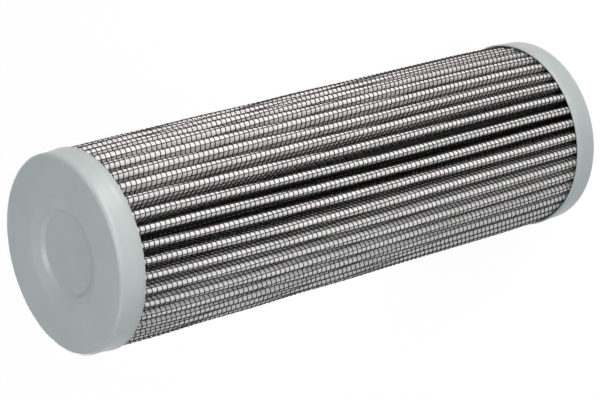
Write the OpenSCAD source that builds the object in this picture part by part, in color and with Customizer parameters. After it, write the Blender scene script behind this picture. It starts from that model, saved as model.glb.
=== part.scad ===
// Pleated hydraulic filter element with pressed steel end caps.
// The axis is +Z. The open cap's flat face stands on z = 0 and the closed cap is on top.

/* [Element] */
// Overall length over the flat faces of both caps
element_length = 154; // [90:1:240]
// Outside diameter of the cap skirts at their free edge
cap_diameter = 50; // [47:0.5:56]

/* [End caps] */
// Sheet thickness of both pressed caps
cap_sheet = 0.5; // [0.4:0.05:0.6]
// Height of the skirt over the flat face
skirt_height = 6.7; // [5.5:0.25:9]
// Outside radius where the face turns into the skirt
corner_radius = 1.1; // [0.9:0.1:1.8]
// How far the skirt flares out towards its free edge
skirt_flare = 0.3; // [0.2:0.05:0.5]
// Height over the face where the flare begins
flare_start = 3.4; // [3:0.2:4.2]

/* [Recess in the closed cap] */
// Diameter where the flat face starts to dip
recess_diameter = 28; // [26:0.5:30]
// Diameter at the foot of the cone
cone_diameter = 22; // [21:0.5:23]
// Depth of the cone below the face
cone_depth = 1.2; // [0.8:0.1:1.6]
// Width of the sloping step between the foot of the cone and the flat disc in the middle
disc_ledge = 1; // [0.8:0.1:2.5]
// Depth of the disc below the foot of the cone
disc_step = 0.9; // [0.5:0.1:1.4]
// Bend radius where the flat face dips into the cone
recess_bend = 5; // [2:0.5:6]

/* [Neck of the open cap] */
// Bore that slides over the housing's spigot
bore_diameter = 22.4; // [21.4:0.1:23]
// Straight length of the bore before the ring groove
bore_land = 3; // [2:0.25:5]
// Face radius of the rolled-in mouth
mouth_radius = 1.4; // [1:0.1:2]
// Straight length of the neck behind the ring groove
neck_tail = 2; // [1:0.25:4]

/* [O-ring] */
// Section of the ring
ring_section = 1.8; // [1.6:0.1:2.6]
// How far the ring stands into the bore
ring_reach = 0.35; // [0.2:0.05:0.5]
// Free width of the groove beside the ring
ring_side_play = 0.3; // [0.2:0.05:0.6]

/* [Core tube] */
// Wall of the perforated tube
core_wall = 0.8; // [0.6:0.1:1]
// Diameter of the flow holes
hole_diameter = 5; // [3:0.25:6]
// Flow holes in each row
holes_per_row = 8; // [6:2:10]
// Spacing of the rows along the tube
hole_row_pitch = 10; // [8:0.2:14]

/* [Pleated pack] */
// Folds round the pack
pleat_count = 40; // [34:1:46]
// Outer wire cloth, with the wires that stand proud of it
mesh_thickness = 0.3; // [0.22:0.01:0.32]
// Glass-fibre medium
media_thickness = 0.34; // [0.25:0.01:0.36]
// Inner wire cloth
support_thickness = 0.18; // [0.12:0.01:0.2]
// Gap between the two legs of one fold at its tip
fold_gap = 0.6; // [0.4:0.02:0.66]
// Gap between neighbouring folds at the core
valley_gap = 0.2; // [0.12:0.01:0.24]

/* [Wires of the outer cloth] */
// Spacing of the lengthwise wires along the cloth
wire_pitch = 1.43; // [1.2:0.01:1.8]
// Width of one wire with its coating
wire_width = 0.3; // [0.2:0.02:0.4]
// Height of the wires over the cloth
wire_height = 0.12; // [0.06:0.01:0.16]
// Wires on each flank of a fold beside the one on its crest
wires_per_flank = 3; // [1:1:4]

/* [Adhesive] */
// Height of the adhesive in a cap over its corner bend
potting_rise = 1.1; // [0.3:0.1:1.2]

/* [Hidden] */
$fn = 96;
// clearances between pieces that are laid against each other
pack_clear = 0.05;
layer_clear = 0.02;
core_clear = 0.15;
ring_clear = 0.05;
neck_clear = 0.2;
cap_clear = 0.3;
seam_clear = 0.03;
// points on the bends
bend_steps = 8;
tip_steps = 8;
root_steps = 4;

cap_r = cap_diameter / 2;
waist_r = cap_r - skirt_flare;
cavity_r = waist_r - cap_sheet;
// bend radius of the gentle turn where the flare begins
flare_bend = 12;
recess_r = recess_diameter / 2;
cone_r = cone_diameter / 2;
// the disc keeps its step inside the foot of the cone
disc_diameter = cone_diameter - 2 * disc_ledge;
disc_r = disc_diameter / 2;
bore_r = bore_diameter / 2;
// the ring lies against the groove's floor and reaches into the bore
ring_in_r = bore_r - ring_reach;
ring_mid_r = ring_in_r + ring_section / 2;
groove_r = ring_in_r + ring_section + ring_clear;
groove_width = ring_section + ring_side_play;
groove_depth = groove_r - bore_r;
// bends of the groove's sloping walls, which rise half as far as they go out
groove_turn = atan2(2, 1);
groove_edge_bend = cap_sheet + 0.1;
groove_floor_bend = 0.3;
land_top = mouth_radius + bore_land;
groove_start = land_top + groove_edge_bend * tan(groove_turn / 2);
groove_low = groove_start + groove_depth / 2;
groove_high = groove_low + groove_width;
groove_end = groove_high + groove_depth / 2;
neck_top = groove_end + neck_tail;
// the core tube clears the neck's widest bead
core_in_r = groove_r + cap_sheet + neck_clear;
core_r = core_in_r + core_wall;
// underside of the closed cap's cone over the end of the tube
cone_slope = atan2(cone_depth, recess_r - cone_r);
cone_under = max(0, (recess_r - core_in_r) * tan(cone_slope)) + cap_sheet / cos(cone_slope);
core_low = cap_sheet + cap_clear;
core_high = element_length - cone_under - cap_clear;
potting_in_r = max(core_r + core_clear, recess_r + recess_bend * tan(cone_slope / 2) + layer_clear);
hole_rows = floor((core_high - core_low - 2 * hole_diameter) / hole_row_pitch) + 1;
first_row = (core_low + core_high - (hole_rows - 1) * hole_row_pitch) / 2;

// the pack stands between the two adhesive rings
pack_low = corner_radius + potting_rise;
pack_high = element_length - pack_low;
pack_length = pack_high - pack_low;
tip_r = cavity_r - pack_clear;
root_r = core_r + core_clear;
pack_thickness = mesh_thickness + media_thickness + support_thickness + 2 * layer_clear;
half_pitch = 180 / pleat_count;
// the outer bend turns about tip_mid, the inner bend about root_mid
tip_bend = pack_thickness + fold_gap / 2;
root_bend = valley_gap / 2;
tip_mid = [tip_r - tip_bend, 0];
root_mid_r = root_r + pack_thickness + root_bend;
root_mid = root_mid_r * [cos(half_pitch), sin(half_pitch)];
// both legs are tangent to the two bends, so every layer keeps its thickness
leg_span = root_mid - tip_mid;
leg_normal = atan2(leg_span[1], leg_span[0]) - acos((tip_bend + root_bend) / norm(leg_span));
leg_dir = [-sin(leg_normal), cos(leg_normal)];
// half the space between the legs of one fold, at its narrower end
leg_space = min(fold_gap / 2, root_mid[1] - root_bend - pack_thickness);
seam_thickness = 2 * (leg_space - seam_clear);

function turn(p, a) = [p[0] * cos(a) - p[1] * sin(a), p[0] * sin(a) + p[1] * cos(a)];
function polar(r, a) = [r * cos(a), r * sin(a)];

function unit(v) = v / norm(v);

// points round the bend at corner b, on the face (s = 0) or s deep in the sheet on its left
function bend(a, b, c, r, s) = let (
    go = unit(b - a),
    on = unit(c - b),
    way = atan2(cross(go, on), go * on),
    side = way < 0 ? -1 : 1,
    left = [-go[1], go[0]],
    mid = b - go * r * tan(abs(way) / 2) + side * r * left
) [for (i = [0:bend_steps]) mid - side * (r - side * s) * turn(left, way * i / bend_steps)];

// one face of a bent sheet whose other face runs through the corners p with bend radii r
function sheet_face(p, r, s) = let (
    n = len(p) - 1,
    first = unit(p[1] - p[0]),
    last = unit(p[n] - p[n - 1])
) concat(
    [p[0] + s * [-first[1], first[0]]],
    [for (i = [1:n - 1]) each bend(p[i - 1], p[i], p[i + 1], r[i - 1], s)],
    [p[n] + s * [-last[1], last[0]]]
);
function reverse(p) = [for (i = [len(p) - 1:-1:0]) p[i]];

// a round pressing of even thickness, from the section of its outer face
module pressing(p, r) {
    rotate_extrude()
        polygon(concat(sheet_face(p, r, 0), reverse(sheet_face(p, r, cap_sheet))));
}

// outline of one layer's face, depth deep in the pack, once round
function fold(k, depth) = let (
    mid = k * 2 * half_pitch,
    out = tip_bend - depth,
    in = root_bend + depth,
    sweep = leg_normal - half_pitch
) concat(
    [for (i = [0:tip_steps]) turn(tip_mid + polar(out, leg_normal * (2 * i / tip_steps - 1)), mid)],
    [for (i = [0:root_steps])
        turn([root_mid_r, 0] + polar(in, 180 + sweep * (1 - 2 * i / root_steps)), mid + half_pitch)]
);
function pack_face(depth) = [for (k = [0:pleat_count - 1]) each fold(k, depth)];

// point on the outer cloth's base at path length s from the crest, raised by h
function cloth_point(s, h) = let (
    base = tip_bend - wire_height,
    quarter = base * leg_normal * PI / 180,
    side = s < 0 ? -1 : 1,
    run = abs(s),
    bent = run / base * 180 / PI,
    p = run < quarter
        ? tip_mid + polar(base + h, bent)
        : tip_mid + polar(base + h, leg_normal) + (run - quarter) * leg_dir
) [p[0], side * p[1]];

// one wire's raised section, and the cloth's bend between two wires
function wire(s) = [
    cloth_point(s - wire_width / 2, 0),
    cloth_point(s - wire_width / 5, wire_height),
    cloth_point(s + wire_width / 5, wire_height),
    cloth_point(s + wire_width / 2, 0)
];
function cloth_fold(k) = let (mid = k * 2 * half_pitch, rows = wires_per_flank) concat(
    [for (i = [-rows:rows]) each concat(
        [for (p = wire(i * wire_pitch)) turn(p, mid)],
        i < rows && abs(i + 0.5) < 1
            ? [for (j = [1:3]) turn(cloth_point((i + j / 4) * wire_pitch, 0), mid)]
            : []
    )],
    [for (i = [0:root_steps])
        turn([root_mid_r, 0]
            + polar(root_bend + wire_height,
                180 + (leg_normal - half_pitch) * (1 - 2 * i / root_steps)),
            mid + half_pitch)]
);
function cloth_face() = [for (k = [0:pleat_count - 1]) each cloth_fold(k)];

// a closed folded sheet between an outer and an inner outline
module folded_sheet(outer, inner) {
    translate([0, 0, pack_low])
        linear_extrude(height = pack_length)
            polygon(
                points = concat(outer, inner),
                paths = [
                    [for (i = [0:len(outer) - 1]) i],
                    [for (i = [0:len(inner) - 1]) len(outer) + i]
                ]
            );
}

module closed_end_cap() {
    disc_depth = cone_depth + disc_step;
    color("#b9c2c2")
        translate([0, 0, element_length])
            mirror([0, 0, 1])
                pressing(
                    [
                        [0, disc_depth],
                        [disc_r, disc_depth],
                        [cone_r, cone_depth],
                        [recess_r, 0],
                        [waist_r, 0],
                        [waist_r, flare_start],
                        [cap_r, skirt_height]
                    ],
                    [0.6, 1.5, recess_bend, corner_radius, flare_bend]
                );
}

// the sheet turns in at the mouth, runs up the bore and swells into the ring groove
module open_end_cap() {
    color("#b9c2c2")
        pressing(
            [
                [bore_r, neck_top],
                [bore_r, groove_end],
                [groove_r, groove_high],
                [groove_r, groove_low],
                [bore_r, groove_start],
                [bore_r, 0],
                [waist_r, 0],
                [waist_r, flare_start],
                [cap_r, skirt_height]
            ],
            [
                groove_edge_bend,
                groove_floor_bend,
                groove_floor_bend,
                groove_edge_bend,
                mouth_radius,
                corner_radius,
                flare_bend
            ]
        );
}

module o_ring() {
    color("#1b1b1b")
        translate([0, 0, groove_low + ring_side_play / 2 + ring_section / 2])
            rotate_extrude()
                translate([ring_mid_r, 0])
                    circle(d = ring_section, $fn = 32);
}

module core_tube() {
    color("#a7a9aa")
        difference() {
            translate([0, 0, core_low])
                cylinder(h = core_high - core_low, r = core_r);
            translate([0, 0, core_low - 1])
                cylinder(h = core_high - core_low + 2, r = core_in_r);
            for (row = [0:hole_rows - 1])
                for (i = [0:holes_per_row - 1])
                    translate([0, 0, first_row + row * hole_row_pitch])
                        rotate([0, 0, (i + (row % 2) / 2) * 360 / holes_per_row])
                            rotate([0, 90, 0])
                                translate([0, 0, core_in_r / 2])
                                    cylinder(h = core_r, d = hole_diameter, $fn = 32);
        }
}

module outer_wire_mesh() {
    color("#2b2b2d")
        folded_sheet(cloth_face(), pack_face(mesh_thickness));
}

module filter_media() {
    color("#f1f0ec")
        folded_sheet(
            pack_face(mesh_thickness + layer_clear),
            pack_face(mesh_thickness + layer_clear + media_thickness)
        );
}

module inner_wire_mesh() {
    color("#8f9394")
        folded_sheet(pack_face(pack_thickness - support_thickness), pack_face(pack_thickness));
}

// the seam lies between the legs of one fold at the back
module side_seam_adhesive() {
    seam_in = root_mid_r + 1;
    seam_out = tip_mid[0] - 1;
    color("#3a3a3c")
        rotate([0, 0, floor(pleat_count / 2) * 2 * half_pitch])
            translate([seam_in, -seam_thickness / 2, pack_low])
                cube([seam_out - seam_in, seam_thickness, pack_length]);
}

// adhesive cast between a cap's flat face, its skirt and the core tube
module potting(inner_r) {
    mid = [waist_r - corner_radius, corner_radius];
    r = corner_radius - cap_sheet - layer_clear;
    color("#3a3a3c")
        rotate_extrude()
            polygon(concat(
                [[inner_r, corner_radius - r]],
                [for (i = [0:bend_steps]) mid + polar(r, -90 + 90 * i / bend_steps)],
                [[mid[0] + r, pack_low], [inner_r, pack_low]]
            ));
}

module open_end_potting() {
    potting(core_r + core_clear);
}

module closed_end_potting() {
    translate([0, 0, element_length])
        mirror([0, 0, 1])
            potting(potting_in_r);
}

closed_end_cap();
closed_end_potting();
outer_wire_mesh();
filter_media();
inner_wire_mesh();
side_seam_adhesive();
core_tube();
open_end_potting();
open_end_cap();
o_ring();
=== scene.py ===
import math

import bpy
import numpy as np
from mathutils import Matrix, Vector


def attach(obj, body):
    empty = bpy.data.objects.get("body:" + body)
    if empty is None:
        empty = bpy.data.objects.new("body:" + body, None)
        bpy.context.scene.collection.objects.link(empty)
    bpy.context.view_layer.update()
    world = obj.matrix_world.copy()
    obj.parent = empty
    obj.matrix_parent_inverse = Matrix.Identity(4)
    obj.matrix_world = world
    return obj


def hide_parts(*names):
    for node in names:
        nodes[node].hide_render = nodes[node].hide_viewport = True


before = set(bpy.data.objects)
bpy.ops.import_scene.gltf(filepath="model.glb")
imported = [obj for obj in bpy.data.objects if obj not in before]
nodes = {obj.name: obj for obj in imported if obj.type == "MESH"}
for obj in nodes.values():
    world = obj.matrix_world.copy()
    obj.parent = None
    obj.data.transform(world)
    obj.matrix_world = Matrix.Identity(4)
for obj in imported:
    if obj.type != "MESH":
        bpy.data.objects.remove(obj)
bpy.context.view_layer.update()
scene = bpy.context.scene

# Core tube. A strip of steel, punched with round flow holes, rolled and welded
# into the tube that the folds lean on under pressure, and then zinc plated.

# one millimetre in the scene's metres
MM = 0.001


def linear(code):
    """sRGB hex to the linear colour that the shaders take."""
    parts = []
    for start in (0, 2, 4):
        value = int(code[start:start + 2], 16) / 255
        parts.append(value / 12.92 if value <= 0.04045 else ((value + 0.055) / 1.055) ** 2.4)
    return (*parts, 1.0)


def put(tree, kind, settings=None, links=None):
    """A shader node with its settings, which may be ramp stops or hex colours, and its links."""
    node = tree.nodes.new(kind)
    for name, value in (settings or {}).items():
        if name == "stops":
            for stop, (place, code) in zip(node.color_ramp.elements, value):
                stop.position = place
                stop.color = linear(code)
        elif isinstance(name, str) and hasattr(node, name):
            setattr(node, name, value)
        else:
            node.inputs[name].default_value = linear(value) if isinstance(value, str) else value
    for name, (source, output) in (links or {}).items():
        tree.links.new(source.outputs[output], node.inputs[name])
    return node


def new_material(name):
    """A material with an empty node tree."""
    material = bpy.data.materials.new(name)
    material.use_nodes = True
    material.node_tree.nodes.clear()
    return material


def per_metre(size):
    """Scale of a pattern whose features are size millimetres across."""
    return 1000 / size


def dress(name, material):
    """Give a solid that stays as it is its material."""
    nodes[name].data.materials.clear()
    nodes[name].data.materials.append(material)


# dull plating: a grey sheen that changes from crystal to crystal
zinc_plated_steel = new_material("zinc_plated_steel_dull")
tree = zinc_plated_steel.node_tree
place = put(tree, "ShaderNodeTexCoord")
# crystals 2 mm across
cloud = put(tree, "ShaderNodeTexVoronoi", {"Scale": per_metre(2.0)},
            {"Vector": (place, "Object")})
tint = put(tree, "ShaderNodeValToRGB", {"stops": [(0.2, "8f9294"), (0.8, "a4a7a8")]},
           {"Fac": (cloud, "Color")})
# the plating's own grit is finer: it is drawn half a millimetre wide so that it shows
grain = put(tree, "ShaderNodeTexNoise", {"Scale": per_metre(5 / 9), "Detail": 3.0},
            {"Vector": (place, "Object")})
rough = put(tree, "ShaderNodeMapRange", {"To Min": 0.36, "To Max": 0.52},
            {"Value": (grain, "Fac")})
relief = put(tree, "ShaderNodeBump", {"Strength": 0.2, "Distance": 0.04 * MM},
             {"Height": (grain, "Fac")})
steel = put(tree, "ShaderNodeBsdfPrincipled", {"Metallic": 1.0},
            {"Base Color": (tint, "Color"), "Roughness": (rough, "Result"),
             "Normal": (relief, "Normal")})
put(tree, "ShaderNodeOutputMaterial", links={"Surface": (steel, "BSDF")})

dress("core_tube", zinc_plated_steel)

# Folded pack. Wire cloth, glass-fibre medium and wire cloth are folded as one on a
# pleating machine and closed to a ring. The folds touch at the core, stand apart at
# their tips, and lean a little to one side between the caps.

# sizes in millimetres, as in the part
FOLDS = 40
HALF_PITCH = math.pi / FOLDS
ELEMENT_LENGTH = 154.0
PACK_LOW = 2.2
PACK_HIGH = ELEMENT_LENGTH - PACK_LOW
TIP_R, ROOT_R = 24.15, 14.35
# thickness of the three layers, and the space between them
COATED_CLOTH, FELT, PLAIN_CLOTH, LAYER_GAP = 0.30, 0.34, 0.18, 0.02
PACK_THICK = COATED_CLOTH + FELT + PLAIN_CLOTH + 2 * LAYER_GAP
# space between the legs of a fold at its tip, and between two folds at the core
TIP_GAP, ROOT_GAP = 0.6, 0.2
TIP_BEND = PACK_THICK + TIP_GAP / 2
ROOT_BEND = ROOT_GAP / 2

# middles of the two bends, and the straight leg that touches both
TIP_MID = np.array([TIP_R - TIP_BEND, 0.0])
ROOT_MID_R = ROOT_R + PACK_THICK + ROOT_BEND
ROOT_MID = ROOT_MID_R * np.array([math.cos(HALF_PITCH), math.sin(HALF_PITCH)])
SPAN = ROOT_MID - TIP_MID
APART = math.hypot(*SPAN)
LEG_NORMAL = math.atan2(SPAN[1], SPAN[0]) - math.acos((TIP_BEND + ROOT_BEND) / APART)
LEG_WAY = np.array([-math.sin(LEG_NORMAL), math.cos(LEG_NORMAL)])
LEG = math.sqrt(APART ** 2 - (TIP_BEND + ROOT_BEND) ** 2)

# lengths along the middle of the coated cloth, from the crest of a fold to its root
CLOTH_MIDDLE = COATED_CLOTH / 2
TIP_ARC = (TIP_BEND - CLOTH_MIDDLE) * LEG_NORMAL
ROOT_ARC = (ROOT_BEND + CLOTH_MIDDLE) * (LEG_NORMAL - HALF_PITCH)
HALF_PATH = TIP_ARC + LEG + ROOT_ARC

# lean of the tips in degrees at seven heights: in the middle row for the folds that face
# the photograph's camera, and in the others for those SIDE_ANGLE further up and down
LEAN_HEIGHTS = (146.5, 129.0, 108.0, 84.0, 49.0, 29.0, 7.5)
LEAN_TABLE = ((-3.7, -3.1, -1.4, 0.3, 1.8, 2.4, 3.0),
              (-2.8, -1.8, -0.3, 1.6, 2.5, 2.7, 2.6),
              (-1.3, 0.1, 2.1, 3.6, 4.3, 3.9, 2.7))
LEAN_CURVES = [np.polyfit(LEAN_HEIGHTS, row, 4) for row in LEAN_TABLE]
SIDE_ANGLE = math.radians(55)
FACING = math.radians(-93.8)
# every fold wanders a little of its own: a lean and a slow wave, both in degrees
FOLD_WANDER = np.random.default_rng(7).normal(0.0, 1.0, (FOLDS, 3)).clip(-1.6, 1.6)
OWN_LEAN, OWN_WAVE, WAVE_STRETCH = 0.25, 0.3, 21.0
# the caps hold the folds straight over the first length, and let go over the second
HELD, FREED = 6.0, 18.0
# how far the tips swell out, from which distance to the end and over which length:
# along the flare of the skirt, past its mouth, and then free between the caps
SWELLS = ((0.26, 3.4, 3.2), (0.22, 6.0, 3.0), (0.24, HELD, FREED))
# a fold starts to lean this far above the core, and faster and faster towards its tip
LEAN_FOOT, LEAN_POWER = 0.5, 1.3


def smooth(share):
    """A share from 0 to 1 that starts and ends softly."""
    share = np.clip(share, 0.0, 1.0)
    return share * share * (3 - 2 * share)


def unit(arrows):
    """The same directions, one long."""
    return arrows / np.linalg.norm(arrows, axis=-1, keepdims=True)


def fold_point(path, depth):
    """Points and outward normals of an upright fold, path from its crest and depth in it."""
    path = np.asarray(path, float)
    side = np.where(path < 0, -1.0, 1.0)
    run = np.abs(path)
    depth = np.broadcast_to(np.asarray(depth, float), run.shape)
    bend = np.minimum(run / TIP_ARC, 1.0) * LEG_NORMAL
    nx, ny = np.cos(bend), np.sin(bend)
    along = np.clip(run - TIP_ARC, 0.0, LEG)
    x = TIP_MID[0] + (TIP_BEND - depth) * nx + along * LEG_WAY[0]
    y = (TIP_BEND - depth) * ny + along * LEG_WAY[1]
    turn = np.clip((run - TIP_ARC - LEG) / ROOT_ARC, 0.0, 1.0)
    way = LEG_NORMAL + math.pi - turn * (LEG_NORMAL - HALF_PITCH)
    low = turn > 0
    x = np.where(low, ROOT_MID[0] + (ROOT_BEND + depth) * np.cos(way), x)
    y = np.where(low, ROOT_MID[1] + (ROOT_BEND + depth) * np.sin(way), y)
    nx = np.where(low, -np.cos(way), nx)
    ny = np.where(low, -np.sin(way), ny)
    return x, y * side, nx, ny * side


def lean(fold, z):
    """Angle by which the tip of a fold leans at height z, and how far it swells out."""
    turn = FACING - fold * 2 * HALF_PITCH
    side = np.sin(turn) / math.sin(SIDE_ANGLE)
    upper, middle, lower = (np.polyval(curve, z) for curve in LEAN_CURVES)
    shift = middle + side * (lower - upper) / 2 + side ** 2 * ((upper + lower) / 2 - middle)
    own = FOLD_WANDER[fold % FOLDS]
    end = np.minimum(z, ELEMENT_LENGTH - z)
    wave = smooth((end - HELD) / FREED) * np.sin(z / WAVE_STRETCH + 2 * own[..., 2])
    shift = shift + OWN_LEAN * own[..., 0] + OWN_WAVE * own[..., 1] * wave
    swell = sum(much * smooth((end - start) / over) for much, start, over in SWELLS)
    return -np.radians(shift), swell


def pack_place(x, y, fold, z):
    """From the section of an upright fold to the leaning pack, in metres."""
    r = np.hypot(x, y)
    angle = np.arctan2(y, x) + fold * 2 * HALF_PITCH
    foot = ROOT_R + LEAN_FOOT
    height = np.clip((r - foot) / (TIP_R - foot), 0.0, 1.0)
    shift, swell = lean(fold, z)
    angle = angle + shift * height ** LEAN_POWER
    r = r + swell * height * height
    return np.stack([r * np.cos(angle), r * np.sin(angle), z + 0 * r], -1) * MM


def mesh_object(name, points, faces, uv=None, flat=False):
    """A mesh from arrays: points (n, 3), four-sided faces (m, 4), uv per point."""
    faces = np.asarray(faces, np.int32)
    size = faces.shape[1]
    mesh = bpy.data.meshes.new(name)
    mesh.vertices.add(len(points))
    mesh.vertices.foreach_set("co", np.asarray(points, np.float32).ravel())
    mesh.loops.add(faces.size)
    mesh.loops.foreach_set("vertex_index", faces.ravel())
    mesh.polygons.add(len(faces))
    mesh.polygons.foreach_set("loop_start", np.arange(len(faces), dtype=np.int32) * size)
    mesh.polygons.foreach_set("use_smooth", np.full(len(faces), not flat))
    if uv is not None:
        layer = mesh.uv_layers.new(name="cloth")
        layer.data.foreach_set("uv", np.asarray(uv, np.float32)[faces.ravel()].ravel())
    mesh.update(calc_edges=True)
    mesh.validate()
    obj = bpy.data.objects.new(name, mesh)
    scene.collection.objects.link(obj)
    return obj


def folded_sheet(name, outer, inner, tip_steps, leg_steps, root_steps, rows):
    """A closed sheet folded like the pack, between two depths in it."""
    half = np.concatenate([
        np.linspace(0, TIP_ARC, tip_steps + 1),
        np.linspace(TIP_ARC, TIP_ARC + LEG, leg_steps + 1)[1:],
        np.linspace(TIP_ARC + LEG, HALF_PATH, root_steps + 1)[1:]])
    # the last point of one fold is the first point of the next
    whole = np.concatenate([-half[::-1], half[1:-1]])
    fold, path = np.meshgrid(np.arange(FOLDS), whole, indexing="ij")
    fold, path = fold.ravel(), path.ravel()
    ring = len(fold)
    layers, uvs = [], []
    for depth in (outer, inner):
        for z in np.linspace(PACK_LOW, PACK_HIGH, rows):
            x, y, _, _ = fold_point(path, depth)
            layers.append(pack_place(x, y, fold, np.full(ring, z)))
            uvs.append(np.stack([path, np.full(ring, z)], -1))
    i = np.arange(ring)
    j = (i + 1) % ring
    faces = []
    for row in range(rows - 1):
        a, b = row * ring, (row + 1) * ring
        faces.append(np.stack([a + i, a + j, b + j, b + i], -1))
        a, b = a + rows * ring, b + rows * ring
        faces.append(np.stack([a + i, b + i, b + j, a + j], -1))
    top, other_side = (rows - 1) * ring, rows * ring
    faces.append(np.stack([i, other_side + i, other_side + j, j], -1))
    faces.append(np.stack([top + i, top + j, top + other_side + j, top + other_side + i], -1))
    return mesh_object(name, np.concatenate(layers), np.concatenate(faces), np.concatenate(uvs))


# Inner wire cloth. Steel wire in a plain weave, left bare. It keeps the medium off
# the core tube and lets the clean oil run down inside each fold.

# bare drawn wire: bright threads with dark gaps between them
plain_wire_cloth = new_material("plain_steel_wire_cloth")
tree = plain_wire_cloth.node_tree
place = put(tree, "ShaderNodeUVMap", {"uv_map": "cloth"})
# wires 1.4 mm apart, where a wave of scale 1 repeats every 2 pi / 20 of the cloth's mm
wires = {"wave_type": "BANDS", "Scale": 2 * math.pi / 20 / 1.4025}
across = put(tree, "ShaderNodeTexWave", {**wires, "bands_direction": "X"},
             {"Vector": (place, "UV")})
along = put(tree, "ShaderNodeTexWave", {**wires, "bands_direction": "Y"},
            {"Vector": (place, "UV")})
weave = put(tree, "ShaderNodeMath", {"operation": "MAXIMUM"},
            {0: (across, "Fac"), 1: (along, "Fac")})
tint = put(tree, "ShaderNodeValToRGB", {"stops": [(0.55, "2c2d2e"), (0.9, "8d9091")]},
           {"Fac": (weave, "Value")})
relief = put(tree, "ShaderNodeBump", {"Strength": 0.8, "Distance": 0.2 * MM},
             {"Height": (weave, "Value")})
steel = put(tree, "ShaderNodeBsdfPrincipled", {"Metallic": 1.0, "Roughness": 0.42},
            {"Base Color": (tint, "Color"), "Normal": (relief, "Normal")})
put(tree, "ShaderNodeOutputMaterial", links={"Surface": (steel, "BSDF")})

inner_cloth = folded_sheet("inner_wire_cloth", PACK_THICK - PLAIN_CLOTH, PACK_THICK,
                           tip_steps=3, leg_steps=1, root_steps=2, rows=20)
inner_cloth.data.materials.append(plain_wire_cloth)
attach(inner_cloth, "root")
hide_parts("inner_wire_mesh")

# Filter medium. Glass fibre, laid wet to a felt of fine threads and bound with resin.
# It lies right behind the coated cloth, whose wires divide it into small white fields.

# resin-bound fibre felt: bright, matte and a little cloudy
glass_fibre_felt = new_material("glass_fibre_felt_white")
tree = glass_fibre_felt.node_tree
place = put(tree, "ShaderNodeTexCoord")
# single fibres are far too fine to show: these tufts are drawn 0.4 mm across
fibres = put(tree, "ShaderNodeTexNoise",
             {"Scale": per_metre(5 / 12), "Detail": 4.0, "Roughness": 0.65},
             {"Vector": (place, "Object")})
# where the felt was laid thicker and thinner, over 11 mm
cloudy = put(tree, "ShaderNodeTexNoise", {"Scale": per_metre(100 / 9), "Detail": 2.0},
             {"Vector": (place, "Object")})
mixed = put(tree, "ShaderNodeMath", {"operation": "MULTIPLY"},
            {0: (fibres, "Fac"), 1: (cloudy, "Fac")})
tint = put(tree, "ShaderNodeValToRGB", {"stops": [(0.1, "e0dfdf"), (0.45, "f4f3f3")]},
           {"Fac": (mixed, "Value")})
relief = put(tree, "ShaderNodeBump", {"Strength": 0.35, "Distance": 0.08 * MM},
             {"Height": (fibres, "Fac")})
felt = put(tree, "ShaderNodeBsdfPrincipled",
           {"Roughness": 0.9, "IOR": 1.5, "Specular IOR Level": 0.2},
           {"Base Color": (tint, "Color"), "Normal": (relief, "Normal")})
put(tree, "ShaderNodeOutputMaterial", links={"Surface": (felt, "BSDF")})

medium = folded_sheet("glass_fibre_medium", COATED_CLOTH, COATED_CLOTH + FELT,
                      tip_steps=5, leg_steps=2, root_steps=2, rows=40)
medium.data.materials.append(glass_fibre_felt)
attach(medium, "root")
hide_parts("filter_media")

# Outer wire cloth. Steel wire in a plain weave, about 18 wires to the inch, dipped
# in black epoxy that bonds the crossings. It is folded with the medium, so one set
# of wires runs round every fold and the other along the folds, a little askew.

# dipped epoxy: near black, with a soft light along each wire
black_epoxy_wire = new_material("steel_wire_black_epoxy")
tree = black_epoxy_wire.node_tree
place = put(tree, "ShaderNodeTexCoord")
# runs and thin places in the coating, 0.9 mm long
runs = put(tree, "ShaderNodeTexNoise", {"Scale": per_metre(10 / 11), "Detail": 2.0},
           {"Vector": (place, "Object")})
tint = put(tree, "ShaderNodeValToRGB", {"stops": [(0.3, "141416"), (0.7, "252528")]},
           {"Fac": (runs, "Fac")})
rough = put(tree, "ShaderNodeMapRange", {"To Min": 0.38, "To Max": 0.6},
            {"Value": (runs, "Fac")})
epoxy = put(tree, "ShaderNodeBsdfPrincipled", {"IOR": 1.55},
            {"Base Color": (tint, "Color"), "Roughness": (rough, "Result")})
put(tree, "ShaderNodeOutputMaterial", links={"Surface": (epoxy, "BSDF")})

# in millimetres: spacing of the wires, how far out and in the two lie where they cross,
# and the radius of those round the folds and of those along them
WIRE_PITCH = 1.4325
WEAVE_RISE = 0.055
RING_WIRE_R, LONG_WIRE_R = 0.15, 0.13
# a wire is about as wide as a pixel of the picture, so three sides are enough
WIRE_SIDES = 3
# a step out of the cloth, from which its normal is worked out
NORMAL_STEP = 0.05

# each fold catches the lengthwise wires at its own place, given in spacings from its
# crest; those of the fourteen folds in view are as in the photograph
FOLD_PHASE = np.random.default_rng(11).random(FOLDS)
FIRST_IN_VIEW = 23
PHASE_IN_VIEW = (0.48, 0.52, 0.98, 0.82, 0.68, 0.60, 0.45,
                 0.52, 0.68, 0.92, 0.22, 0.58, 0.68, 0.98)
FOLD_PHASE[FIRST_IN_VIEW:FIRST_IN_VIEW + len(PHASE_IN_VIEW)] = PHASE_IN_VIEW
# the cloth was fed askew: from just below the closed end, over this length, its
# lengthwise wires move by so many spacings
ASKEW, ASKEW_START, ASKEW_RUN = 2.5, 4.0, 114.0


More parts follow.
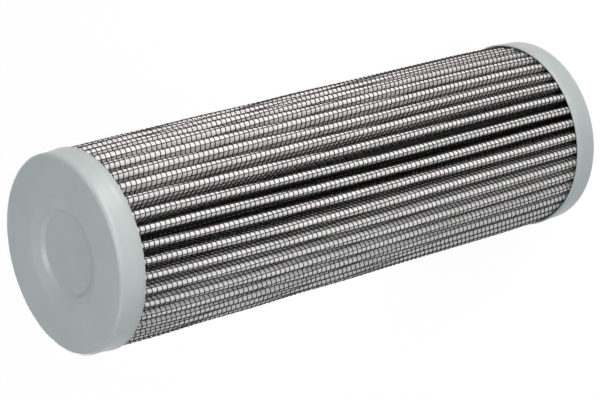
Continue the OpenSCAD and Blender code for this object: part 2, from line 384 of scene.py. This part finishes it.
def wire_tubes(name, sets, radius):
    """Tubes along sets of paths: middles (paths, points, 3) and two directions across each."""
    points, faces, used = [], [], 0
    turn = np.arange(WIRE_SIDES) * 2 * math.pi / WIRE_SIDES
    for middle, normal, binormal in sets:
        paths, count = middle.shape[:2]
        out = (np.cos(turn)[:, None] * normal[:, :, None, :]
               + np.sin(turn)[:, None] * binormal[:, :, None, :])
        points.append((middle[:, :, None, :] + radius * out).reshape(-1, 3))
        at = used + np.arange(paths * count * WIRE_SIDES).reshape(paths, count, WIRE_SIDES)
        used += at.size
        a, b = at[:, :-1], at[:, 1:]
        faces.append(np.stack([a, np.roll(a, -1, 2), np.roll(b, -1, 2), b], -1).reshape(-1, 4))
    return mesh_object(name, np.concatenate(points), np.concatenate(faces))


def cloth_place(path, out, fold, z):
    """Middle of a wire, out above the cloth's middle, and the cloth's normal there."""
    x, y, nx, ny = fold_point(path, CLOTH_MIDDLE - out)
    here = pack_place(x, y, fold, z)
    above = pack_place(x + nx * NORMAL_STEP, y + ny * NORMAL_STEP, fold, z)
    return here, unit(above - here)


def wire_shift(fold, z):
    """Where the lengthwise wires of a fold lie at height z, in spacings from its crest."""
    return FOLD_PHASE[fold] + ASKEW * smooth((ELEMENT_LENGTH - ASKEW_START - z) / ASKEW_RUN)


def lengthwise_set(path, out, fold, z):
    """Middles of wires along the folds, and the two directions across them."""
    here, normal = cloth_place(path, out, fold, z)
    tangent = unit(np.gradient(here, axis=1))
    return here, normal, unit(np.cross(tangent, normal))


# wires round the folds, one row above the other between the two adhesive rings
LOW_MARGIN, HIGH_MARGIN = 2.6, 1.4
ring_heights = np.arange(PACK_LOW + LOW_MARGIN, PACK_HIGH - HIGH_MARGIN, WIRE_PITCH)
# all rows lie a little lower, and more so away from the closed cap, towards which the
# cloth is stretched
SLIP, STRETCH, STRETCH_START, STRETCH_RUN = 0.33, 0.97, 5.0, 95.0
away = smooth((ELEMENT_LENGTH - STRETCH_START - ring_heights) / STRETCH_RUN)
ring_heights = ring_heights - SLIP - STRETCH * away

# over the crest, a wire has a point at each crossing and one half way to the next
CREST_STEPS = 7
rows, fold, step = np.meshgrid(np.arange(len(ring_heights)), np.arange(FOLDS),
                               np.arange(-CREST_STEPS, CREST_STEPS + 1), indexing="ij")
z = ring_heights[rows]
shift = wire_shift(fold, z)
near = np.round(shift).astype(int)
path = (shift - near + step / 2) * WIRE_PITCH
# over one lengthwise wire and under the next, level half way between them
parity = np.where((step // 2 - near + rows) % 2 == 0, 1.0, -1.0)
out = np.where(step % 2 == 0, WEAVE_RISE * parity, 0.0)
# straight from there down both legs and half round the roots, where the next fold goes on
ends = np.broadcast_to([TIP_ARC + LEG, HALF_PATH], path.shape[:2] + (2,))
path = np.concatenate([-ends[..., ::-1], path, ends], 2)
out = np.pad(out, ((0, 0), (0, 0), (2, 2)))
middle, normal = cloth_place(path, out, np.broadcast_to(fold[..., :1], path.shape),
                             np.broadcast_to(z[..., :1], path.shape))
upward = np.broadcast_to(np.array([0.0, 0.0, 1.0]), middle.shape)

# in three pieces, from the open end up
thirds = np.array_split(np.arange(len(ring_heights)), 3)
for part, members in zip(("lower", "middle", "upper"), thirds):
    shape = (-1, middle.shape[2], 3)
    paths = [way[members].reshape(shape) for way in (middle, normal, upward)]
    rings = wire_tubes("outer_cloth_ring_wires_" + part, [paths], RING_WIRE_R * MM)
    rings.data.materials.append(black_epoxy_wire)
    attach(rings, "root")
    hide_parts("outer_wire_mesh")

# wires along the folds, over one ring wire and under the next
run_heights = np.concatenate([[ring_heights[0] - WIRE_PITCH], ring_heights,
                              [ring_heights[-1] + WIRE_PITCH]])
fold, rows = np.meshgrid(np.arange(FOLDS), np.arange(len(run_heights)), indexing="ij")
z = run_heights[rows]
# numbered across the crest; a wire stops DEEPEST down a leg of the fold, and one that
# stays out of sight all its way, or is too short, isn't made
FIRST_WIRE, LAST_WIRE = -7, 4
DEEPEST, OUT_OF_SIGHT, FEWEST_POINTS = 7.2, 4.2, 3
sets = []
for number in range(FIRST_WIRE, LAST_WIRE + 1):
    path = (number + wire_shift(fold, z)) * WIRE_PITCH
    held = np.flatnonzero(np.abs(path).max(0) < DEEPEST)
    if len(held) < FEWEST_POINTS or np.abs(path).min() > OUT_OF_SIGHT:
        continue
    parity = np.where((rows - 1 + number) % 2 == 0, -1.0, 1.0)
    sets.append(lengthwise_set(path[:, held], WEAVE_RISE * parity[:, held],
                               fold[:, held], z[:, held]))
# one more wire lies in each root: partly the cloth's own, and partly a dark line put there as
# painted shade at the bottom of each fold
parity = np.where(rows % 2 == 0, 1.0, -1.0)
sets.append(lengthwise_set(np.full(z.shape, HALF_PATH), WEAVE_RISE * parity, fold, z))

half = len(sets) // 2
for part, members in (("left", sets[:half]), ("right", sets[half:])):
    lengthwise = wire_tubes("outer_cloth_lengthwise_wires_" + part, members, LONG_WIRE_R * MM)
    lengthwise.data.materials.append(black_epoxy_wire)
    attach(lengthwise, "root")
    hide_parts("outer_wire_mesh")

# Side seam. A bead of epoxy between the two legs of one fold at the back joins the
# ends of the folded strip. It is laid into the fold before the pack is closed to a ring.

# epoxy filled with black: dark grey with a slight gloss and a few bubbles
cured_epoxy = new_material("black_filled_epoxy")
tree = cured_epoxy.node_tree
place = put(tree, "ShaderNodeTexCoord")
# bubbles 1.4 mm across
bubbles = put(tree, "ShaderNodeTexNoise", {"Scale": per_metre(10 / 7), "Detail": 2.0},
              {"Vector": (place, "Object")})
tint = put(tree, "ShaderNodeValToRGB", {"stops": [(0.3, "2e2e30"), (0.7, "3c3c3e")]},
           {"Fac": (bubbles, "Fac")})
relief = put(tree, "ShaderNodeBump", {"Strength": 0.3, "Distance": 0.1 * MM},
             {"Height": (bubbles, "Fac")})
resin = put(tree, "ShaderNodeBsdfPrincipled", {"Roughness": 0.35, "IOR": 1.55},
            {"Base Color": (tint, "Color"), "Normal": (relief, "Normal")})
put(tree, "ShaderNodeOutputMaterial", links={"Surface": (resin, "BSDF")})

# the bead's section in millimetres, from its inner edge to its outer one
SEAM_IN_R, SEAM_OUT_R, SEAM_HALF = 16.31, 21.94, 0.18
SEAM_FOLD = FOLDS // 2
SEAM_STEPS, SEAM_ROWS = 4, 30
seam_r = np.linspace(SEAM_IN_R, SEAM_OUT_R, SEAM_STEPS + 1)
x = np.concatenate([seam_r, seam_r[::-1]])
y = np.repeat([SEAM_HALF, -SEAM_HALF], SEAM_STEPS + 1)
ring = len(x)
points = [pack_place(x, y, np.full(ring, SEAM_FOLD), np.full(ring, height))
          for height in np.linspace(PACK_LOW, PACK_HIGH, SEAM_ROWS)]
i = np.arange(ring)
j = (i + 1) % ring
faces = [np.stack([row + i, row + ring + i, row + ring + j, row + j], -1)
         for row in range(0, (SEAM_ROWS - 1) * ring, ring)]
n = np.arange(SEAM_STEPS)
for base in (0, (SEAM_ROWS - 1) * ring):
    last = base + ring - 1
    faces.append(np.stack([base + n, base + n + 1, last - 1 - n, last - n], -1))
seam = mesh_object("side_seam_bead", np.concatenate(points), np.concatenate(faces))
seam.data.materials.append(cured_epoxy)
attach(seam, "root")
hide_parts("side_seam_adhesive")

# Adhesive rings. The same filled epoxy, poured into each cap. The pack and the core
# tube are set into it while it is wet, and it holds the element together.
dress("open_end_potting", cured_epoxy)
dress("closed_end_potting", cured_epoxy)

# O-ring. Nitrile rubber, moulded in one piece. It lies in the groove of the open
# cap's neck and seals on the spigot of the housing.

# moulded rubber with a little bloom: black and slightly dull
nitrile_rubber = new_material("nitrile_rubber_moulded")
tree = nitrile_rubber.node_tree
place = put(tree, "ShaderNodeTexCoord")
# patches of bloom 1.1 mm across
bloom = put(tree, "ShaderNodeTexNoise", {"Scale": per_metre(10 / 9), "Detail": 3.0},
            {"Vector": (place, "Object")})
tint = put(tree, "ShaderNodeValToRGB", {"stops": [(0.35, "131313"), (0.7, "1f1f1f")]},
           {"Fac": (bloom, "Fac")})
rough = put(tree, "ShaderNodeMapRange", {"To Min": 0.5, "To Max": 0.68},
            {"Value": (bloom, "Fac")})
rubber = put(tree, "ShaderNodeBsdfPrincipled", {"IOR": 1.52},
             {"Base Color": (tint, "Color"), "Roughness": (rough, "Result")})
put(tree, "ShaderNodeOutputMaterial", links={"Surface": (rubber, "BSDF")})

dress("o_ring", nitrile_rubber)

# Open end cap. Steel sheet 0.5 mm thick, drawn to a shallow cup whose middle turns
# in to a neck with a rolled groove for the ring. Both caps are lacquered after drawing
# and bonded to the pack with epoxy.

# satin lacquer over drawn steel: pale grey, with light that spreads softly on the bends
grey_lacquered_steel = new_material("drawn_steel_grey_satin_lacquer")
tree = grey_lacquered_steel.node_tree
place = put(tree, "ShaderNodeTexCoord")
# where the lacquer flowed thicker and thinner, over 17 mm
flow = put(tree, "ShaderNodeTexNoise",
           {"Scale": per_metre(50 / 3), "Detail": 3.0, "Roughness": 0.55},
           {"Vector": (place, "Object")})
tint = put(tree, "ShaderNodeValToRGB", {"stops": [(0.3, "abb5b6"), (0.7, "b3bdbe")]},
           {"Fac": (flow, "Fac")})
# the fine orange peel of sprayed lacquer, 0.8 mm across
peel = put(tree, "ShaderNodeTexNoise", {"Scale": per_metre(10 / 13), "Detail": 2.0},
           {"Vector": (place, "Object")})
rough = put(tree, "ShaderNodeMapRange", {"To Min": 0.3, "To Max": 0.4},
            {"Value": (peel, "Fac")})
relief = put(tree, "ShaderNodeBump", {"Strength": 0.12, "Distance": 0.05 * MM},
             {"Height": (peel, "Fac")})
lacquer = put(tree, "ShaderNodeBsdfPrincipled", {"IOR": 1.6, "Metallic": 0.0},
              {"Base Color": (tint, "Color"), "Roughness": (rough, "Result"),
               "Normal": (relief, "Normal")})
put(tree, "ShaderNodeOutputMaterial", links={"Surface": (lacquer, "BSDF")})

# sizes in millimetres, as in the part: the sheet and the skirt that both caps have,
# straight at first and flared towards its mouth
SHEET = 0.5
CAP_R, WAIST_R = 25.0, 24.7
FLARE_START, SKIRT_LENGTH = 3.4, 6.7
SKIRT = [(WAIST_R, 0), (WAIST_R, FLARE_START), (CAP_R, SKIRT_LENGTH)]
SKIRT_BENDS = [1.1, 12.0]
# the cut edge of the sheet is broken by this much
EDGE = 0.12
# a drawn skirt is never quite round: it has three shallow lobes and seven finer ones.
# They start LOBE_ZONE inside the rim, about a radius LOBE_ROOM smaller than the part's
LOBES, LOBE_TURN, FINE_LOBES = 0.02, 0.6, 0.012
LOBE_ZONE, LOBE_ROOM = 1.5, 0.03
# the neck with its groove, from the end inside the element out to the mouth
NECK_R, GROOVE_R = 11.2, 12.7
GROOVE_LOW, GROOVE_HIGH, GROOVE_WALL, NECK_END = 5.521, 7.621, 0.75, 10.371
NECK = [(NECK_R, NECK_END), (NECK_R, GROOVE_HIGH + GROOVE_WALL), (GROOVE_R, GROOVE_HIGH),
        (GROOVE_R, GROOVE_LOW), (NECK_R, GROOVE_LOW - GROOVE_WALL), (NECK_R, 0)]
NECK_BENDS = [0.6, 0.3, 0.3, 0.6, 1.4]


def sheet_face(corners, radii, depth, steps=10):
    """One face of a bent sheet, depth in it, from the corners and bends of its outer face."""
    corners = [np.array(corner, float) for corner in corners]
    first = unit(corners[1] - corners[0])
    line = [corners[0] + depth * np.array([-first[1], first[0]])]
    for a, b, c, r in zip(corners, corners[1:], corners[2:], radii):
        go, on = unit(b - a), unit(c - b)
        way = math.atan2(go[0] * on[1] - go[1] * on[0], go @ on)
        side = -1 if way < 0 else 1
        left = np.array([-go[1], go[0]])
        mid = b - go * r * math.tan(abs(way) / 2) + side * r * left
        for i in range(steps + 1):
            t = way * i / steps
            out = np.array([left[0] * math.cos(t) - left[1] * math.sin(t),
                            left[0] * math.sin(t) + left[1] * math.cos(t)])
            line.append(mid - side * (r - side * depth) * out)
    last = unit(corners[-1] - corners[-2])
    line.append(corners[-1] + depth * np.array([-last[1], last[0]]))
    return line


def pressing(name, corners, radii, base, sign, sectors=180):
    """A round pressing: its section is spun about the axis, measured from base."""
    front = sheet_face(corners, radii, 0.0)
    back = sheet_face(corners, radii, SHEET)[::-1]
    edge = front[-1] * 0.5 + back[0] * 0.5 + np.array([0.0, EDGE])
    line = np.array(front + [edge] + back)
    if corners[0][0] > 0:
        # a cap with a hole has a closed section
        line = np.concatenate([line, line[:1]])
    turn = np.arange(sectors) * 2 * math.pi / sectors
    r = line[:, 0][:, None]
    lobes = LOBES * np.sin(3 * turn + LOBE_TURN) + FINE_LOBES * np.sin(7 * turn)
    r = r + (lobes - LOBE_ROOM) * smooth((r - CAP_R + LOBE_ZONE) / LOBE_ZONE)
    points = np.stack([r * np.cos(turn), r * np.sin(turn),
                       base + sign * line[:, 1][:, None] + 0 * turn], -1) * MM
    count = len(line)
    at = np.arange(count * sectors).reshape(count, sectors)
    a, b = at[:-1], at[1:]
    faces = np.stack([a, b, np.roll(b, -1, 1), np.roll(a, -1, 1)], -1).reshape(-1, 4)
    if sign < 0:
        faces = faces[:, ::-1]
    cap = mesh_object(name, points.reshape(-1, 3), faces)
    cap.data.materials.append(grey_lacquered_steel)
    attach(cap, "root")
    return cap


open_cap = pressing("open_cap_pressing", NECK + SKIRT, NECK_BENDS + SKIRT_BENDS, 0.0, 1)
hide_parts("open_end_cap")

# Closed end cap. The same sheet and lacquer, drawn with a dished middle: a shallow
# cone that centres the core tube, and a flat disc one step deeper.

DISC_R, CONE_R, RECESS_R = 10, 11, 14
DISC_DEPTH, CONE_DEPTH = 2.1, 1.2
RECESS = [(0, DISC_DEPTH), (DISC_R, DISC_DEPTH), (CONE_R, CONE_DEPTH), (RECESS_R, 0)]
RECESS_BENDS = [0.6, 1.5, 5.0]

closed_cap = pressing("closed_cap_pressing", RECESS + SKIRT, RECESS_BENDS + SKIRT_BENDS,
                      ELEMENT_LENGTH, -1)
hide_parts("closed_end_cap")

# Stand. A sheet of plain pale paper to stand on, which the camera sees as white, in a
# pale room with soft lamps.


def looked_at(tree, share=1.0):
    """The share for rays that are seen, also in metal and through glass, and 0 for others."""
    ray = put(tree, "ShaderNodeLightPath")
    seen = put(tree, "ShaderNodeMath", {"operation": "MAXIMUM"},
               {0: (ray, "Is Camera Ray"), 1: (ray, "Is Glossy Ray")})
    whole = put(tree, "ShaderNodeMath", {"operation": "MAXIMUM"},
                {0: (seen, "Value"), 1: (ray, "Is Transmission Ray")})
    return put(tree, "ShaderNodeMath", {"operation": "MULTIPLY", 1: share},
               {0: (whole, "Value")})


# uncoated paper: plain, matte and pale, with the element's soft shadow
white_paper = new_material("white_paper_floor")
tree = white_paper.node_tree
paper = put(tree, "ShaderNodeBsdfPrincipled", {"Roughness": 0.9, "Base Color": "e6e6e6"})
glow = put(tree, "ShaderNodeEmission", {"Strength": 1.13, "Color": "ffffff"})
# four fifths of what is seen is the studio's glow and one fifth the lit paper, which
# holds the shadow; together they come to white
both = put(tree, "ShaderNodeMixShader",
           links={0: (looked_at(tree, 0.8), "Value"), 1: (paper, "BSDF"), 2: (glow, "Emission")})
# from below, the floor is clear, so that the open end can be looked at
under = put(tree, "ShaderNodeNewGeometry")
clear = put(tree, "ShaderNodeBsdfTransparent")
sheet = put(tree, "ShaderNodeMixShader",
            links={0: (under, "Backfacing"), 1: (both, "Shader"), 2: (clear, "BSDF")})
put(tree, "ShaderNodeOutputMaterial", links={"Surface": (sheet, "Shader")})

# in metres: half the side of the sheet, and its height just below the element's foot
FLOOR_HALF, FLOOR_Z = 1.6, -0.0002
floor = mesh_object("floor", [(x * FLOOR_HALF, y * FLOOR_HALF, FLOOR_Z)
                              for x, y in ((-1, -1), (1, -1), (1, 1), (-1, 1))],
                    [[0, 1, 2, 3]], flat=True)
floor.data.materials.append(white_paper)

world = bpy.data.worlds.new("studio")
scene.world = world
world.use_nodes = True
tree = world.node_tree
tree.nodes.clear()
sky = put(tree, "ShaderNodeBackground", {"Strength": 0.25, "Color": "ffffff"})
backdrop = put(tree, "ShaderNodeBackground", {"Strength": 1.0, "Color": "ffffff"})
room = put(tree, "ShaderNodeMixShader",
           links={0: (looked_at(tree), "Value"), 1: (sky, "Background"),
                  2: (backdrop, "Background")})
put(tree, "ShaderNodeOutputWorld", links={"Surface": (room, "Shader")})

# Lamps. Softboxes round the element, each at its place in metres and turned to a
# point on the element's axis, with its width and height, its power and its tint.


def lamp(name, place, aim, size, power, tint="ffffff"):
    """A softbox at place, turned to aim."""
    light = bpy.data.lights.new(name, "AREA")
    light.shape = "RECTANGLE"
    light.size, light.size_y = size
    light.energy = power
    light.color = linear(tint)[:3]
    softbox = bpy.data.objects.new(name, light)
    scene.collection.objects.link(softbox)
    softbox.location = place
    softbox.rotation_euler = (Vector(aim) - Vector(place)).to_track_quat("-Z", "Y").to_euler()


MIDDLE, CLOSED_END = (0, 0, 0.08), (0, 0, 0.15)
# the near lamps are a little warmer than the room
lamp("near_softbox", (0.1454, -0.2156, 0.15), CLOSED_END, (0.17, 0.10), 0.32, "fff9f3")
lamp("low_softbox", (0.127, -0.099, 0.032), CLOSED_END, (0.06, 0.06), 0.062, "fff6ee")
lamp("front_softbox", (-0.05, -0.35, 0.25), CLOSED_END, (0.16, 0.16), 0.34)
lamp("left_softbox", (-0.3645, -0.018, 0.411), CLOSED_END, (0.15, 0.15), 0.2)
lamp("overhead_softbox", (0.0, -0.2781, 0.9409), MIDDLE, (0.35, 0.35), 1.83)
# a low strip behind, which stays below the closed face and so out of its recess
lamp("back_softbox", (-0.1, 0.9, 0.08), MIDDLE, (0.8, 0.13), 2.6)

# Camera. The photograph's: a long lens that looks down on the closed end, rolled so
# that the standing element seems to lie.

# the picture's right, its up and the way back to the camera, and the camera's place
RIGHT = Vector((-0.257885, -0.573047, -0.777890))
UP = Vector((0.966170, -0.150286, -0.209593))
BACK = Vector((0.003201, -0.805625, 0.592417))
CAMERA_PLACE = Vector((0.0, -0.50521, 0.45350))
lens = bpy.data.cameras.new("camera")
lens.sensor_width = 36.0
lens.lens = 147.957
lens.clip_start, lens.clip_end = 0.05, 10.0
camera = bpy.data.objects.new("camera", lens)
scene.collection.objects.link(camera)
turned = Matrix((RIGHT, UP, BACK)).transposed().to_4x4()
camera.matrix_world = Matrix.Translation(CAMERA_PLACE) @ turned
scene.camera = camera
scene.view_settings.view_transform = "Standard"
